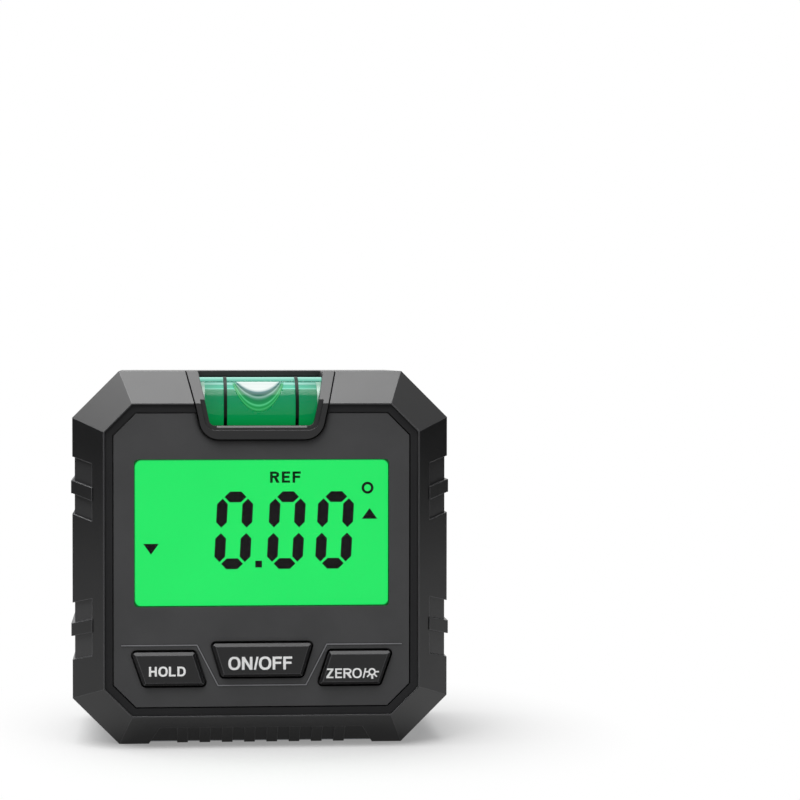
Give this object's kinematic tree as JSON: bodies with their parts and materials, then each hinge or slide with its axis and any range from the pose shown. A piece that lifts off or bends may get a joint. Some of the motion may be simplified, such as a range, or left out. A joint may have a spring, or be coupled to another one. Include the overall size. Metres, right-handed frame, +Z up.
{
  "type": "digital angle gauge",
  "caption": "Octagonal digital angle gauge with a lit display, press keys, a bubble vial in its top edge and a grooved magnetic base.",
  "frame": {"origin": "centre of the bounding box on the surface that the gauge stands on", "axes": "+X to the right seen from the front, +Z up, the display faces -Y"},
  "size_m": [0.0604, 0.0334, 0.0596],
  "materials": {
    "black_case": "fine satin texture",
    "grey_panel": "fine satin",
    "black_rim": "matt",
    "pale_line": "printed line",
    "black_trim": "satin",
    "black_insert": "matt",
    "clear_vial": "clear",
    "green_fluid": "clear green liquid",
    "black_ink": "printed",
    "white_plug": "gloss",
    "clear_lens": "clear",
    "lit_glass": "lit from behind",
    "dark_mark": "dark display mark",
    "white_carrier": "white",
    "light_guide": "milky",
    "lamp": "clear moulded lamp",
    "strip_rubber": "striped rubber",
    "key_plastic": "satin",
    "switch_metal": "plain",
    "board_green": "solder mask",
    "chip_black": "moulded",
    "chip_grey": "moulded",
    "crystal_can": "plain",
    "screw_steel": "plain",
    "contact_metal": "plated spring sheet",
    "red_wire": "insulated",
    "black_wire": "insulated",
    "cell_wrap": "wrapped cell",
    "base_metal": "fine milled",
    "magnet_plate": "plated"
  },
  "bodies": {
    "gauge_body": {"front_frame": "black_case", "rear_shell": "black_case", "panel_seal": "black_rim", "front_panel": "grey_panel", "panel_line": "pale_line", "vial_bezel": "black_trim", "vial_back": "black_insert", "vial_tube": "clear_vial", "vial_fluid": "green_fluid", "vial_ring_left": "black_ink", "vial_ring_right": "black_ink", "vial_plug_left": "white_plug", "vial_plug_right": "white_plug", "display_lens": "clear_lens", "lcd_glass": "lit_glass", "lcd_segments": "dark_mark", "lcd_carrier": "white_carrier", "backlight_panel": "light_guide", "backlight_lamp": "lamp", "contact_strip": "strip_rubber", "hold_switch": "switch_metal", "power_switch": "switch_metal", "zero_switch": "switch_metal", "main_board": "board_green", "controller_chip": "chip_black", "tilt_sensor": "chip_grey", "timing_crystal": "crystal_can", "board_screw_1": "screw_steel", "board_screw_2": "screw_steel", "board_screw_3": "screw_steel", "board_screw_4": "screw_steel", "contact_bridge": "contact_metal", "contact_positive": "contact_metal", "contact_negative": "contact_metal", "wire_positive": "red_wire", "wire_negative": "black_wire", "cell_upper": "cell_wrap", "cell_lower": "cell_wrap", "case_screw_1": "screw_steel", "case_screw_2": "screw_steel", "case_screw_3": "screw_steel", "case_screw_4": "screw_steel", "base_block": "base_metal", "magnet_1": "magnet_plate", "magnet_2": "magnet_plate", "magnet_3": "magnet_plate", "magnet_4": "magnet_plate"},
    "hold_key_body": {"hold_key": "key_plastic", "hold_plunger": "chip_black"},
    "power_key_body": {"power_key": "key_plastic", "power_plunger": "chip_black"},
    "zero_key_body": {"zero_key": "key_plastic", "zero_plunger": "chip_black"},
    "cover_body": {"battery_cover": "black_case"}
  },
  "joints": [
    {"name": "hold_press", "type": "slide", "parent": "gauge_body", "child": "hold_key_body", "axis": [0, 1, 0], "range_m": [0, 0.0005], "stiffness_N_per_m": 1500, "springref_m": -0.0004},
    {"name": "power_press", "type": "slide", "parent": "gauge_body", "child": "power_key_body", "axis": [0, 1, 0], "range_m": [0, 0.0005], "stiffness_N_per_m": 1500, "springref_m": -0.0004},
    {"name": "zero_press", "type": "slide", "parent": "gauge_body", "child": "zero_key_body", "axis": [0, 1, 0], "range_m": [0, 0.0005], "stiffness_N_per_m": 1500, "springref_m": -0.0004},
    {"name": "cover_lift_off", "type": "slide", "parent": "gauge_body", "child": "cover_body", "axis": [0, 1, 0], "range_m": [0, 0.02]}
  ]
}
